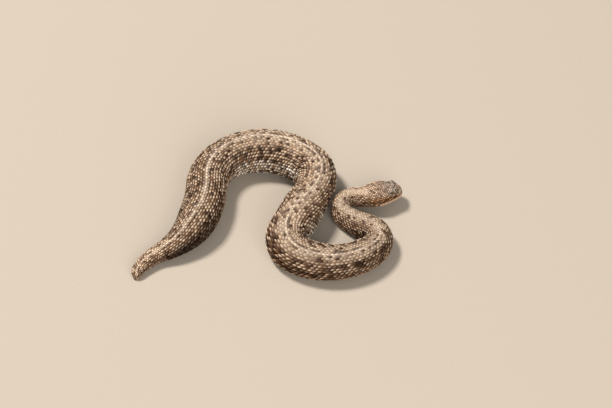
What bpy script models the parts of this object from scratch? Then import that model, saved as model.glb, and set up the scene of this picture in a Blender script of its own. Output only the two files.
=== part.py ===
"""Life-size desert adder resting in open coils, as a still display model.

The body is one tube lofted along a chain of bends, from the snout to the tip of the tail, with a
flat belly on the floor. Thin cuts part it into a head, a lower jaw, a neck, lengths of trunk and a tail.
Run with: blender --background --python part.py
"""

import math

import bmesh
import bpy
import numpy as np
from mathutils import Matrix, Vector

MM = 0.001

# The spine, seen from above, from the snout to the tip of the tail. Each length bends evenly from the
# heading before it to its own. Headings are in degrees from +X and count up to the left.
SNOUT_XY = (52.88, 8.57)
SNOUT_HEADING = -165.0
BENDS = (
    # name, length in mm, heading at its end
    ("head", 14, -165),
    ("nape", 4, -200),
    ("neck_bend", 14, -45),
    ("neck_run", 12.5, -25),
    ("front_turn", 12, -130),
    ("lower_loop", 35, -215),
    ("loop_return", 12.5, -300),
    ("crossing", 25, -290),
    ("shoulder", 13, -225),
    ("arch", 28.5, -165),
    ("hip", 25, -90),
    ("left_limb", 19.5, -115),
    ("tail_base", 18, -155),
    ("tail", 13, -120),
    ("tail_tip", 3.5, -70),
)
BEND_BLEND = 6.0
LENGTH = float(sum(length for _, length, _ in BENDS))

# Distance from the snout, full width and full height, in mm.
GIRTH = (
    (0.0, 2.6, 1.4),
    (0.5, 4.7, 2.5),
    (1.3, 6.2, 3.4),
    (2.6, 7.6, 4.3),
    (4.0, 8.6, 5.0),
    (5.8, 9.8, 5.6),
    (7.8, 10.9, 6.1),
    (9.8, 11.4, 6.4),
    (11.8, 10.9, 6.5),
    (13.8, 9.7, 6.5),
    (16.0, 8.7, 6.4),
    (19.0, 7.9, 6.5),
    (22.0, 7.5, 6.7),
    (28.0, 8.0, 7.2),
    (35.0, 9.4, 8.2),
    (44.0, 10.8, 9.4),
    (54.0, 11.4, 10.0),
    (62.0, 13.0, 11.3),
    (75.0, 14.2, 12.4),
    (90.0, 15.3, 13.3),
    (104.0, 16.8, 14.4),
    (116.0, 16.9, 14.5),
    (128.0, 15.3, 14.0),
    (140.0, 17.4, 15.2),
    (160.0, 17.4, 15.4),
    (180.0, 16.4, 14.4),
    (200.0, 16.6, 14.2),
    (212.0, 16.0, 13.6),
    (219.5, 13.8, 11.6),
    (225.5, 11.2, 9.4),
    (230.5, 9.1, 7.8),
    (235.5, 7.3, 6.4),
    (240.5, 6.4, 5.6),
    (244.5, 5.5, 4.9),
    (247.4, 4.4, 3.9),
    (248.9, 2.7, 2.4),
    (249.5, 1.2, 1.1),
)
# Distance from the snout and height of the belly above the floor, in mm.
LIFT = (
    (0.0, 4.3),
    (1.3, 3.7),
    (4.6, 3.1),
    (11.6, 2.5),
    (20.0, 1.7),
    (28.0, 0.6),
    (35.0, 0.0),
    (103.0, 0.0),
    (116.0, 1.2),
    (128.0, 0.0),
    (213.0, 0.0),
    (227.0, 0.5),
    (238.0, 0.0),
    (249.5, 0.0),
)
# Distance from the snout and how square the back is: 2 is an ellipse, and more is flatter on top.
SQUARENESS = ((0.0, 2.3), (3.0, 2.7), (12.0, 2.6), (22.0, 2.1), (60.0, 2.1), (249.5, 2.0))
BELLY_SQUARENESS = 2.6
WIDEST_SHARE = 0.44  # height of the widest level, as a share of the height
BELLY_SINK = 0.08  # how far the round belly would reach below the flat, as a share of the height

# Eyes, nostrils and mouth, in mm.
EYE_PLACE = 3.5
EYE_OUT = 2.35
EYE_RADIUS = 1.15
EYE_BELOW_CROWN = 0.55
BROW_HEIGHT = 0.5
BROW_SPREAD = (1.8, 0.4)  # along the head in mm, and round the section in radians
BROW_ANGLE = 60.0
NOSTRIL_PLACE = 1.2
NOSTRIL_ANGLE = 60  # degrees up from the side
NOSTRIL_RADIUS = 0.35
MOUTH_SHARE = 0.36  # height of the mouth at the snout, as a share of the head's height there
MOUTH_CORNER = 10.2
MOUTH_CORNER_Z = 4.5
CUT = 0.3

# Where the thin cuts part the body, in mm from the snout.
HEAD_END = 13.5
LENGTHS = (
    ("neck_front", 26.5),
    ("neck_rear", 40.0),
    ("trunk_1", 53.0),
    ("trunk_2", 76.0),
    ("trunk_3", 106.0),
    ("trunk_4", 120.0),
    ("trunk_5", 139.0),
    ("trunk_6", 160.0),
    ("trunk_7", 186.0),
    ("trunk_8", 210.0),
    ("trunk_9", 230.0),
    ("tail", 241.0),
    ("tail_tip", LENGTH),
)
SIDES = 24
LONGEST_STEP = 2.6
MOST_TURN = 13.0  # degrees between two sections
HEAD_STEPS = (0.0, 0.25, 0.7, 1.3, 2.1, 2.9, 3.7, 4.6, 5.6, 6.7, 7.9, 9.1, 10.3, 11.4, 12.4)

SKIN_COLOURS = {"back": (0.42, 0.33, 0.24), "head": (0.40, 0.33, 0.26), "jaw": (0.62, 0.55, 0.45)}
EYE_COLOUR = (0.30, 0.22, 0.12)


def smooth_through(stations, places, column=1):
    """A curve through the stations that never overshoots them, read at the places."""
    x = np.array([row[0] for row in stations], float)
    y = np.array([row[column] for row in stations], float)
    rise = np.diff(y) / np.diff(x)
    slope = np.zeros(len(x))
    same_way = rise[:-1] * rise[1:] > 0
    mean = 2 * rise[:-1] * rise[1:] / np.where(same_way, rise[:-1] + rise[1:], 1.0)
    slope[1:-1] = np.where(same_way, mean, 0.0)
    slope[0], slope[-1] = rise[0], rise[-1]
    places = np.clip(np.asarray(places, float), x[0], x[-1])
    k = np.clip(np.searchsorted(x, places) - 1, 0, len(x) - 2)
    span = x[k + 1] - x[k]
    t = (places - x[k]) / span
    start, end = t * t * (2 * t - 3) + 1, t * t * (3 - 2 * t)
    leave, arrive = t * (1 - t) ** 2, t * t * (t - 1)
    return y[k] * start + y[k + 1] * end + span * (slope[k] * leave + slope[k + 1] * arrive)


def spine(places):
    """x, y and heading in radians at each place, which is a distance from the snout in mm."""
    step = 0.1
    samples = 25
    ends = np.cumsum([0] + [length for _, length, _ in BENDS])
    headings = [SNOUT_HEADING] + [heading for _, _, heading in BENDS]
    middle = np.arange(step / 2, LENGTH, step)
    shifts = (np.arange(samples) - (samples - 1) / 2) / samples * BEND_BLEND
    heading = np.mean([np.interp(middle + shift, ends, headings) for shift in shifts], axis=0)
    heading = np.radians(heading)
    knots = np.append(middle - step / 2, LENGTH)
    x = SNOUT_XY[0] + np.concatenate([[0], np.cumsum(np.cos(heading) * step)])
    y = SNOUT_XY[1] + np.concatenate([[0], np.cumsum(np.sin(heading) * step)])
    return (
        np.interp(places, knots, x),
        np.interp(places, knots, y),
        np.interp(places, middle, heading),
    )


def bump(distance):
    """1 at no distance, falling smoothly to 0."""
    return np.exp(-(distance**2))


def section(place):
    """The closed outline at one place: points in mm, from one side over the back and under the belly."""
    x, y, heading = (float(v) for v in spine(place))
    width = float(smooth_through(GIRTH, place, 1))
    height = float(smooth_through(GIRTH, place, 2))
    base = float(smooth_through(LIFT, place))
    square = float(smooth_through(SQUARENESS, place))
    widest = WIDEST_SHARE * height
    angle = np.arange(SIDES) / SIDES * 2 * math.pi
    across, up = np.cos(angle), np.sin(angle)
    back = up >= 0
    power = 2 / np.where(back, square, BELLY_SQUARENESS)
    out = np.sign(across) * np.abs(across) ** power * width / 2
    reach = np.where(back, height - widest, -(widest + BELLY_SINK * height))
    z = np.maximum(widest + reach * np.abs(up) ** power, 0)
    brow_along = (place - EYE_PLACE) / BROW_SPREAD[0]
    for side in (1, -1):
        brow = math.radians(90 - side * (90 - BROW_ANGLE))
        raised = BROW_HEIGHT * bump(brow_along) * bump((angle - brow) / BROW_SPREAD[1])
        out += side * raised * math.cos(math.radians(BROW_ANGLE))
        z += raised * math.sin(math.radians(BROW_ANGLE))
    left = (-math.sin(heading), math.cos(heading))
    return np.column_stack([x + out * left[0], y + out * left[1], base + z])


def places_between(start, end):
    """Places for sections, closer together where the spine turns sharply."""
    fine = np.linspace(start, end, 200)
    turned = np.degrees(np.abs(np.diff(spine(fine)[2])))
    need = np.maximum(np.diff(fine) / LONGEST_STEP, turned / MOST_TURN)
    filled = np.concatenate([[0], np.cumsum(need)])
    count = max(1, math.ceil(filled[-1]))
    return np.interp(np.linspace(0, filled[-1], count + 1), filled, fine)


def loft(name, places, material):
    """A closed solid through the sections at the places, with flat ends."""
    shape = bmesh.new()
    rings = []
    for place in places:
        rings.append([shape.verts.new(Vector(point) * MM) for point in section(place)])
    for before, after in zip(rings, rings[1:]):
        for i in range(SIDES):
            j = (i + 1) % SIDES
            shape.faces.new((before[i], before[j], after[j], after[i]))
    shape.faces.new(rings[0][::-1])
    shape.faces.new(rings[-1])
    bmesh.ops.recalc_face_normals(shape, faces=shape.faces)
    mesh = bpy.data.meshes.new(name)
    shape.to_mesh(mesh)
    shape.free()
    return place_object(name, mesh, material)


def place_object(name, mesh, material):
    mesh.shade_smooth()
    mesh.set_sharp_from_angle(angle=math.radians(50))
    if material:
        mesh.materials.append(material)
    made = bpy.data.objects.new(name, mesh)
    bpy.context.scene.collection.objects.link(made)
    return made


def finish(name, colour, roughness):
    made = bpy.data.materials.new(name)
    made.use_nodes = True
    shader = made.node_tree.nodes["Principled BSDF"]
    shader.inputs["Base Color"].default_value = (*colour, 1.0)
    shader.inputs["Roughness"].default_value = roughness
    return made


def ball(name, centre, radius, material=None, segments=20, rings=12):
    shape = bmesh.new()
    bmesh.ops.create_uvsphere(shape, u_segments=segments, v_segments=rings, radius=radius * MM)
    bmesh.ops.translate(shape, verts=shape.verts, vec=Vector(centre) * MM)
    mesh = bpy.data.meshes.new(name)
    shape.to_mesh(mesh)
    shape.free()
    return place_object(name, mesh, material)


def block(name, corner, opposite, turn):
    """A box between two corners in mm, turned about the snout to lie along the head."""
    shape = bmesh.new()
    bmesh.ops.create_cube(shape, size=1.0)
    low, high = Vector(corner) * MM, Vector(opposite) * MM
    bmesh.ops.scale(shape, verts=shape.verts, vec=high - low)
    bmesh.ops.translate(shape, verts=shape.verts, vec=(low + high) / 2)
    bmesh.ops.transform(shape, verts=shape.verts, matrix=turn)
    mesh = bpy.data.meshes.new(name)
    shape.to_mesh(mesh)
    shape.free()
    return place_object(name, mesh, None)


def hide(cutter):
    cutter.hide_render = True
    cutter.display_type = "WIRE"
    return cutter


def cut(solid, cutter, operation="DIFFERENCE"):
    modifier = solid.modifiers.new(cutter.name, "BOOLEAN")
    modifier.operation = operation
    modifier.solver = "EXACT"
    modifier.object = cutter


def on_head(place, out, z):
    """A point beside the head's own middle line, in mm."""
    x, y, heading = (float(v) for v in spine(place))
    return (x - math.sin(heading) * out, y + math.cos(heading) * out, z)


def crown(place):
    """The height of the top of the head at a place, in mm."""
    return float(smooth_through(LIFT, place) + smooth_through(GIRTH, place, 2))


def mouth_block(name, clearance):
    """The space of the lower jaw: all that is below the mouth and in front of its corner."""
    snout_z = float(smooth_through(LIFT, 1.3) + MOUTH_SHARE * smooth_through(GIRTH, 1.3, 2))
    slope = math.atan2(MOUTH_CORNER_Z - snout_z, MOUTH_CORNER)
    along_head = Matrix.Rotation(math.radians(SNOUT_HEADING), 4, "Z")
    tilt = Matrix.Rotation(-slope, 4, "Y")
    snout = Matrix.Translation(Vector((*SNOUT_XY, snout_z)) * MM)
    reach = 12.0
    front = (-reach, -reach, -reach)
    corner = (MOUTH_CORNER + clearance, reach, clearance)
    return hide(block(name, front, corner, snout @ along_head @ tilt))


def build_head():
    skin = finish("head_skin", SKIN_COLOURS["head"], 0.6)
    chin = finish("chin_skin", SKIN_COLOURS["jaw"], 0.6)
    iris = finish("eye", EYE_COLOUR, 0.1)
    places = [*HEAD_STEPS, HEAD_END - CUT / 2]
    head = loft("head", places, skin)
    jaw = loft("lower_jaw", places, chin)
    cut(head, mouth_block("mouth_gap", CUT))
    cut(jaw, mouth_block("jaw_space", 0.0), "INTERSECT")
    # The head faces against the spine's direction, so its own left is on the spine's right.
    for side, sign in (("left", -1), ("right", 1)):
        eye_at = on_head(EYE_PLACE, sign * EYE_OUT, crown(EYE_PLACE) - EYE_BELOW_CROWN)
        ball(f"eye_{side}", eye_at, EYE_RADIUS, iris)
        cut(head, hide(ball(f"socket_{side}", eye_at, EYE_RADIUS + CUT)))
        corner = SIDES * (90 - sign * (90 - NOSTRIL_ANGLE)) // 360
        nostril_at = section(NOSTRIL_PLACE)[corner]
        nostril = ball(f"nostril_{side}", nostril_at, NOSTRIL_RADIUS, None, 10, 6)
        cut(head, hide(nostril))


def build_body():
    skin = finish("scaled_skin", SKIN_COLOURS["back"], 0.65)
    start = HEAD_END
    for name, end in LENGTHS:
        last = end if end == LENGTH else end - CUT / 2
        loft(name, places_between(start + CUT / 2, last), skin)
        start = end


def main():
    for old in list(bpy.data.objects):
        bpy.data.objects.remove(old, do_unlink=True)
    build_head()
    build_body()


main()
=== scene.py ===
"""The looks of a desert adder at rest: one skin, solid scales over it, and two glossy eyes.

A place is a distance from the snout along the spine, in mm. A share is how far round the body a
point lies from the middle of the back, toward the spine's own left, where 1 is the whole way. Rows
of scales are counted from the middle of the back, and columns from the snout. Every scale is laid
on the skin by its place and its share, so the coat follows each bend of the body.
"""

import math

import bpy
import numpy as np
from mathutils import Matrix, Vector
from mathutils.bvhtree import BVHTree


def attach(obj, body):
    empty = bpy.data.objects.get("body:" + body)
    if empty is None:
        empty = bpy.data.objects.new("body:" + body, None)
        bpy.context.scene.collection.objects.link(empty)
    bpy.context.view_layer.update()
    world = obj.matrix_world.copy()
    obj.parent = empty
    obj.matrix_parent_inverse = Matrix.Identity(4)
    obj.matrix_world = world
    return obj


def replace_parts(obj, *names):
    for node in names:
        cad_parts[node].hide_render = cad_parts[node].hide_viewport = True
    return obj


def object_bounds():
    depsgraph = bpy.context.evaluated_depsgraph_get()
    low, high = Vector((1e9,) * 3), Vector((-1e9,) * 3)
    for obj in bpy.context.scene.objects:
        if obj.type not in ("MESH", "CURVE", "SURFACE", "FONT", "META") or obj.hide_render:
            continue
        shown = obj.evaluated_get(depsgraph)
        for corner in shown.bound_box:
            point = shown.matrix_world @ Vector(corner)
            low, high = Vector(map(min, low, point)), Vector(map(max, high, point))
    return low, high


MM = 0.001
SIDES = (1, -1)  # the spine's left, which is the animal's own right, and then the other side

# ---------------- sizes, in mm and degrees

# The body's shape, as the solids have it. See spine() and outline().
SNOUT_XY = (52.88, 8.57)
SNOUT_HEADING = -165.0
BENDS = (
    # name, length, heading at its end
    ("head", 14, -165),
    ("nape", 4, -200),
    ("neck_bend", 14, -45),
    ("neck_run", 12.5, -25),
    ("front_turn", 12, -130),
    ("lower_loop", 35, -215),
    ("loop_return", 12.5, -300),
    ("crossing", 25, -290),
    ("shoulder", 13, -225),
    ("arch", 28.5, -165),
    ("hip", 25, -90),
    ("left_limb", 19.5, -115),
    ("tail_base", 18, -155),
    ("tail", 13, -120),
    ("tail_tip", 3.5, -70),
)
BEND_BLEND = 6.0
LENGTH = float(sum(length for _, length, _ in BENDS))
GIRTH = (
    # place, full width, full height
    (0.0, 2.6, 1.4), (0.5, 4.7, 2.5), (1.3, 6.2, 3.4), (2.6, 7.6, 4.3), (4.0, 8.6, 5.0),
    (5.8, 9.8, 5.6), (7.8, 10.9, 6.1), (9.8, 11.4, 6.4), (11.8, 10.9, 6.5), (13.8, 9.7, 6.5),
    (16.0, 8.7, 6.4), (19.0, 7.9, 6.5), (22.0, 7.5, 6.7), (28.0, 8.0, 7.2), (35.0, 9.4, 8.2),
    (44.0, 10.8, 9.4), (54.0, 11.4, 10.0), (62.0, 13.0, 11.3), (75.0, 14.2, 12.4),
    (90.0, 15.3, 13.3), (104.0, 16.8, 14.4), (116.0, 16.9, 14.5), (128.0, 15.3, 14.0),
    (140.0, 17.4, 15.2), (160.0, 17.4, 15.4), (180.0, 16.4, 14.4), (200.0, 16.6, 14.2),
    (212.0, 16.0, 13.6), (219.5, 13.8, 11.6), (225.5, 11.2, 9.4), (230.5, 9.1, 7.8),
    (235.5, 7.3, 6.4), (240.5, 6.4, 5.6), (244.5, 5.5, 4.9), (247.4, 4.4, 3.9),
    (248.9, 2.7, 2.4), (249.5, 1.2, 1.1),
)
LIFT = (
    # place, height of the belly above the floor
    (0.0, 4.3), (1.3, 3.7), (4.6, 3.1), (11.6, 2.5), (20.0, 1.7), (28.0, 0.6), (35.0, 0.0),
    (103.0, 0.0), (116.0, 1.2), (128.0, 0.0), (213.0, 0.0), (227.0, 0.5), (238.0, 0.0),
    (249.5, 0.0),
)
SQUARENESS = ((0.0, 2.3), (3.0, 2.7), (12.0, 2.6), (22.0, 2.1), (60.0, 2.1), (249.5, 2.0))
BELLY_SQUARENESS = 2.6
WIDEST_SHARE = 0.44
BELLY_SINK = 0.08
EYE_PLACE = 3.5
EYE_OUT = 2.35
EYE_RADIUS = 1.15
EYE_BELOW_CROWN = 0.55
BROW_HEIGHT = 0.5
BROW_SPREAD = (1.8, 0.4)
BROW_ANGLE = 60.0
NOSTRIL_PLACE = 1.2
NOSTRIL_ANGLE = 60
MOUTH_SHARE = 0.36
MOUTH_CORNER = 10.2
MOUTH_CORNER_Z = 4.5
MOUTH_GAP = 0.3

# The head's own axes. Left is the spine's left.
SNOUT_TIP = np.array([*SNOUT_XY, 0.0])
HEAD_TURN = math.radians(SNOUT_HEADING)
FORWARD = np.array([-math.cos(HEAD_TURN), -math.sin(HEAD_TURN), 0.0])
LEFT = np.array([-math.sin(HEAD_TURN), math.cos(HEAD_TURN), 0.0])
UP = np.array([0.0, 0.0, 1.0])

# The lie of the coat.
BACK_LEAN = (
    # place, lean of the middle of the back in degrees, toward the spine's left
    (0, 0), (45, 0), (60, 10), (80, 15), (90, 10), (98, 0), (108, 5), (122, -10), (135, -15),
    (150, -10), (165, -5), (190, 0), (205, 5), (220, 0), (235, 10), (249.5, 0),
)
ROW_SPACING = (
    # place, mean distance between neighbouring rows round the body
    (0, 0.52), (3, 0.58), (6, 0.7), (9, 0.8), (13, 0.82), (18, 0.84), (28, 0.9), (40, 0.98),
    (62, 1.15), (90, 1.3), (110, 1.36), (190, 1.36), (215, 1.3), (225, 1.2), (232, 1.08),
    (240, 0.96), (246, 0.8), (249.5, 0.6),
)
PITCH = (
    # place, distance from scale to scale along a row
    (0, 0.6), (4, 0.7), (8, 0.88), (13, 1.0), (20, 1.08), (30, 1.2), (45, 1.38), (75, 1.54),
    (100, 1.62), (205, 1.62), (222, 1.5), (235, 1.28), (243, 1.08), (249.5, 0.75),
)
MOST_ROWS = 40  # more rows than lie on either side anywhere
COAT_SHARE = 0.34  # the coat's depth, as a share of the row spacing
FACET_ROOM = 0.03  # the flat facets of the solids cut this far inside the true bends
OVERLAP = 1.4  # a keeled scale's length, as a share of the pitch
SIDE_OVERLAP = 1.16  # its width, as a share of the space that its row has
BACK_ROW_WIDTH = 0.8  # the space of the middle rows, as a share of the mean
BACK_SHARE = 0.4  # the keeled rows reach this share of the girth down each flank
SNOUT_END = 0.85  # the plates of the snout are laid up to here
HEAD_END = 13.5  # the small scales of the head end here
THROAT_END = 17.0  # the belly plates start here
VENT = 230.0  # the paired plates of the tail start here

# The eyes look out, up and a little ahead, as in an adder that lies buried to its eyes.
EYE_LOOK = (0.28, 0.72, 0.62)  # forward, out and up
EYE_OPENING = math.radians(60)  # half the angle of the opening in the skin
EYE_RING_COUNT = 17
EYE_ROOM = 0.125  # small scales keep this far from the eyeball
NOSTRIL_ROOM = 0.5  # and this far from the middle of a nostril
RIM_HEIGHT = 0.1  # the skin's rim round the eye stands out this far from the eyeball
LIP_COUNT = 11  # plates on each side of each lip
LIP_HEIGHT = 0.62

# The grid that the skin is made on.
COLUMNS = 400  # points round each ring
HEAD_STEP = 0.1  # from ring to ring on the head
BODY_STEP = 0.4  # and on the body
HEAD_BAND_END = 16.0  # the rings are closer up to here, and the unwrap is larger
RELIEF_END = 14  # the fine forms of the head end before here
SNOUT_CAP = 1.0  # the rings that close the snout have places this far before its tip
TAIL_CAP = 0.5  # and those that close the tail this far past its tip
PATCH = 0.003  # how wide one scale's patch is on the unwrap


# ---------------- the body's surface


def smooth_through(stations, places, column=1):
    """A curve through the stations that never overshoots them, read at the places."""
    x = np.array([row[0] for row in stations], float)
    y = np.array([row[column] for row in stations], float)
    rise = np.diff(y) / np.diff(x)
    slope = np.zeros(len(x))
    same_way = rise[:-1] * rise[1:] > 0
    mean = 2 * rise[:-1] * rise[1:] / np.where(same_way, rise[:-1] + rise[1:], 1.0)
    slope[1:-1] = np.where(same_way, mean, 0.0)
    slope[0], slope[-1] = rise[0], rise[-1]
    places = np.clip(np.asarray(places, float), x[0], x[-1])
    k = np.clip(np.searchsorted(x, places) - 1, 0, len(x) - 2)
    span = x[k + 1] - x[k]
    t = (places - x[k]) / span
    start, end = t * t * (2 * t - 3) + 1, t * t * (3 - 2 * t)
    leave, arrive = t * (1 - t) ** 2, t * t * (t - 1)
    return y[k] * start + y[k + 1] * end + span * (slope[k] * leave + slope[k + 1] * arrive)


def bump(distance):
    """1 at no distance, falling smoothly to 0."""
    return np.exp(-(distance**2))


def ramp(value, start, end):
    """0 before start and 1 after end, with a smooth rise between them."""
    t = np.clip((value - start) / (end - start), 0, 1)
    return t * t * (3 - 2 * t)


def gap_to(points, middle):
    """The distance of each point from one point."""
    return np.linalg.norm(points - middle, axis=-1)


def spine(places):
    """x, y and heading in radians at each place."""
    step = 0.1
    samples = 25
    ends = np.cumsum([0] + [length for _, length, _ in BENDS])
    headings = [SNOUT_HEADING] + [heading for _, _, heading in BENDS]
    middle = np.arange(step / 2, LENGTH, step)
    shifts = (np.arange(samples) - (samples - 1) / 2) / samples * BEND_BLEND
    heading = np.mean([np.interp(middle + shift, ends, headings) for shift in shifts], axis=0)
    heading = np.radians(heading)
    knots = np.append(middle - step / 2, LENGTH)
    x = SNOUT_XY[0] + np.concatenate([[0], np.cumsum(np.cos(heading) * step)])
    y = SNOUT_XY[1] + np.concatenate([[0], np.cumsum(np.sin(heading) * step)])
    return (
        np.interp(places, knots, x),
        np.interp(places, knots, y),
        np.interp(places, middle, heading),
    )


def outline(places, angles):
    """Points in mm on the solids' surface: a row for each place, with that row's own angles."""
    x, y, heading = (value[:, None] for value in spine(places))
    width = smooth_through(GIRTH, places, 1)[:, None]
    height = smooth_through(GIRTH, places, 2)[:, None]
    base = smooth_through(LIFT, places)[:, None]
    square = smooth_through(SQUARENESS, places)[:, None]
    widest = WIDEST_SHARE * height
    across, up = np.cos(angles), np.sin(angles)
    back = up >= 0
    power = 2 / np.where(back, square, BELLY_SQUARENESS)
    out = np.sign(across) * np.abs(across) ** power * width / 2
    reach = np.where(back, height - widest, -(widest + BELLY_SINK * height))
    z = np.maximum(widest + reach * np.abs(up) ** power, 0)
    brow_along = (places[:, None] - EYE_PLACE) / BROW_SPREAD[0]
    for side in SIDES:
        brow = math.radians(90 - side * (90 - BROW_ANGLE))
        turn = np.mod(angles - brow + math.pi, 2 * math.pi) - math.pi
        raised = BROW_HEIGHT * bump(brow_along) * bump(turn / BROW_SPREAD[1])
        out = out + side * raised * math.cos(math.radians(BROW_ANGLE))
        z = z + raised * math.sin(math.radians(BROW_ANGLE))
    return np.stack([x - out * np.sin(heading), y + out * np.cos(heading), base + z], axis=2)


def crown_height(places):
    """The height of the top of the body, in mm above the floor."""
    return smooth_through(LIFT, places) + smooth_through(GIRTH, places, 2)


def mouth_height(places):
    """The height of the middle of the mouth line, in mm above the floor."""
    snout = smooth_through(LIFT, 1.3) + MOUTH_SHARE * smooth_through(GIRTH, 1.3, 2)
    return snout + (MOUTH_CORNER_Z - snout) * places / MOUTH_CORNER + MOUTH_GAP / 2


def row_spacing(places):
    return smooth_through(ROW_SPACING, places)


def coat_depth(places):
    return COAT_SHARE * row_spacing(places)


def eye_facts(side):
    """The centre of an eye in mm and the way it looks."""
    x, y, heading = (float(value) for value in spine(EYE_PLACE))
    out = side * EYE_OUT
    height = float(crown_height(EYE_PLACE)) - EYE_BELOW_CROWN
    centre = np.array([x - math.sin(heading) * out, y + math.cos(heading) * out, height])
    look = EYE_LOOK[0] * FORWARD + side * EYE_LOOK[1] * LEFT + EYE_LOOK[2] * UP
    return centre, look / np.linalg.norm(look)


def nostril_centre(side):
    angle = math.radians(90 - side * (90 - NOSTRIL_ANGLE))
    return outline(np.array([NOSTRIL_PLACE]), np.array([[angle]]))[0, 0]


def head_relief(places, points):
    """How far the skin of the head stands out or sinks in, in mm along its normal.

    The mouth is a groove between two low rolls, and each nostril a pit inside a low rim."""
    groove, groove_width = 0.18, 0.17
    roll, roll_away, roll_width = 0.05, 0.5, 0.3
    rim, rim_radius, rim_width = 0.06, 0.42, 0.14
    pit, pit_radius = 0.32, 0.2
    above = points[..., 2] - mouth_height(places)
    open_here = 1 - ramp(places, MOUTH_CORNER - 0.2, MOUTH_CORNER + 0.8)
    relief = -groove * bump(above / groove_width) * open_here
    rolls = bump((above - roll_away) / roll_width) + bump((above + roll_away) / roll_width)
    relief += roll * rolls * open_here
    for side in SIDES:
        gap = gap_to(points, nostril_centre(side))
        relief += rim * bump((gap - rim_radius) / rim_width) - pit * bump(gap / pit_radius)
    return relief


def fit_round_eyes(points):
    """Draws the skin tight round each eyeball, with a low rim, and sinks it under the clear opening."""
    sunk, farthest, behind = 0.12, 2.2, 0.6
    for side in SIDES:
        centre, look = eye_facts(side)
        away = points - centre
        reach = np.linalg.norm(away, axis=2)
        ahead = away @ look
        beside = np.sqrt(np.maximum(reach**2 - ahead**2, 0))
        turned = np.arctan2(beside, ahead)
        opening = (beside < EYE_RADIUS * math.sin(EYE_OPENING)) & (ahead > 0) & (reach < farthest)
        close = (reach < EYE_RADIUS + RIM_HEIGHT) & (turned > EYE_OPENING) & (ahead > -behind)
        wanted = np.where(opening, EYE_RADIUS - sunk, reach)
        wanted = np.where(close & ~opening, EYE_RADIUS + RIM_HEIGHT, wanted)
        points = centre + away * (wanted / np.maximum(reach, 1e-6))[..., None]
    return points


class Surface:
    """The skin as rings of points, read anywhere by place and share."""

    def __init__(self):
        head = np.arange(0, HEAD_BAND_END, HEAD_STEP)
        body = np.append(np.arange(HEAD_BAND_END, LENGTH, BODY_STEP), LENGTH)
        on_body = np.concatenate([head, body])
        rings, girth = self.spaced_rings(on_body)
        snout = np.linspace(-SNOUT_CAP, 0, 8)[:-1]
        tail = LENGTH + np.linspace(0, TAIL_CAP, 6)[1:]
        opening, closing = 1 + snout / SNOUT_CAP, 1 - (tail - LENGTH) / TAIL_CAP
        self.places = np.concatenate([snout, on_body, tail])
        girth = np.concatenate([girth[0] * opening, girth, girth[-1] * closing])
        self.girth = np.maximum(girth, 0.05)
        outer = np.concatenate([self.cap(rings[0], opening), rings, self.cap(rings[-1], closing)])
        depth = (coat_depth(self.places) + FACET_ROOM)[:, None, None]
        skin = outer - depth * self.normals_of(outer)
        relief = head_relief(self.places[:, None], skin) * (self.places < RELIEF_END)[:, None]
        skin = skin + relief[..., None] * self.normals_of(skin)
        self.points = fit_round_eyes(skin)
        self.normals = self.normals_of(self.points)

    @staticmethod
    def spaced_rings(places):
        """Rings whose points are evenly spaced from the middle of the back, and their girths."""
        quarter_degrees = np.linspace(0, 2 * math.pi, 1441)
        start = np.radians(90 - smooth_through(BACK_LEAN, places))
        angles = start[:, None] - quarter_degrees[None, :]
        steps = np.linalg.norm(np.diff(outline(places, angles), axis=1), axis=2)
        gone = np.concatenate([np.zeros((len(places), 1)), np.cumsum(steps, axis=1)], axis=1)
        girth = gone[:, -1]
        shares = np.arange(COLUMNS) / COLUMNS
        picked = [np.interp(shares * g, row, a) for g, row, a in zip(girth, gone, angles)]
        return outline(places, np.array(picked)), girth

    @staticmethod
    def cap(ring, scales):
        centre = ring.mean(axis=0)
        return centre + (ring - centre)[None] * np.maximum(scales, 0.01)[:, None, None]

    @staticmethod
    def normals_of(rings):
        along = np.gradient(rings, axis=0)
        rolled = np.roll(rings, -1, axis=1) - np.roll(rings, 1, axis=1)
        normals = np.cross(along, rolled)
        normals /= np.maximum(np.linalg.norm(normals, axis=2, keepdims=True), 1e-12)
        for end, inner in ((0, 1), (-1, -2)):
            mean = normals[inner].mean(axis=0)
            normals[end] = mean / np.linalg.norm(mean)
        return normals

    def girth_at(self, places):
        return np.interp(places, self.places, self.girth)

    def at(self, places, shares):
        """Points and normals at places and shares."""
        row = np.interp(places, self.places, np.arange(len(self.places)))
        column = np.mod(shares, 1) * COLUMNS
        r0 = np.minimum(row.astype(int), len(self.places) - 2)
        c0 = np.minimum(column.astype(int), COLUMNS - 1)
        c1 = (c0 + 1) % COLUMNS
        t, u = (row - r0)[..., None], (column - c0)[..., None]
        found = []
        for grid in (self.points, self.normals):
            near = grid[r0, c0] * (1 - u) + grid[r0, c1] * u
            far = grid[r0 + 1, c0] * (1 - u) + grid[r0 + 1, c1] * u
            found.append(near * (1 - t) + far * t)
        found[1] /= np.linalg.norm(found[1], axis=-1, keepdims=True)
        return found

    def stretch(self, places, shares):
        """How much longer the skin is there than the spine beside it."""
        reach = 0.5
        ahead, _ = self.at(np.minimum(places + reach, LENGTH), shares)
        behind, _ = self.at(np.maximum(places - reach, 0), shares)
        return np.linalg.norm(ahead - behind, axis=-1) / (2 * reach)

    def mesh_grid(self):
        """The rings, and the columns of them, that the skin's mesh uses."""
        front = np.flatnonzero(self.places < HEAD_BAND_END)
        middle = np.flatnonzero((self.places >= HEAD_BAND_END) & (self.places < LENGTH))[::2]
        rear = np.flatnonzero(self.places >= LENGTH)
        return np.concatenate([front, middle, rear]), np.arange(0, COLUMNS, 2)


SKIN = Surface()


# ---------------- the rows of scales

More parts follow.
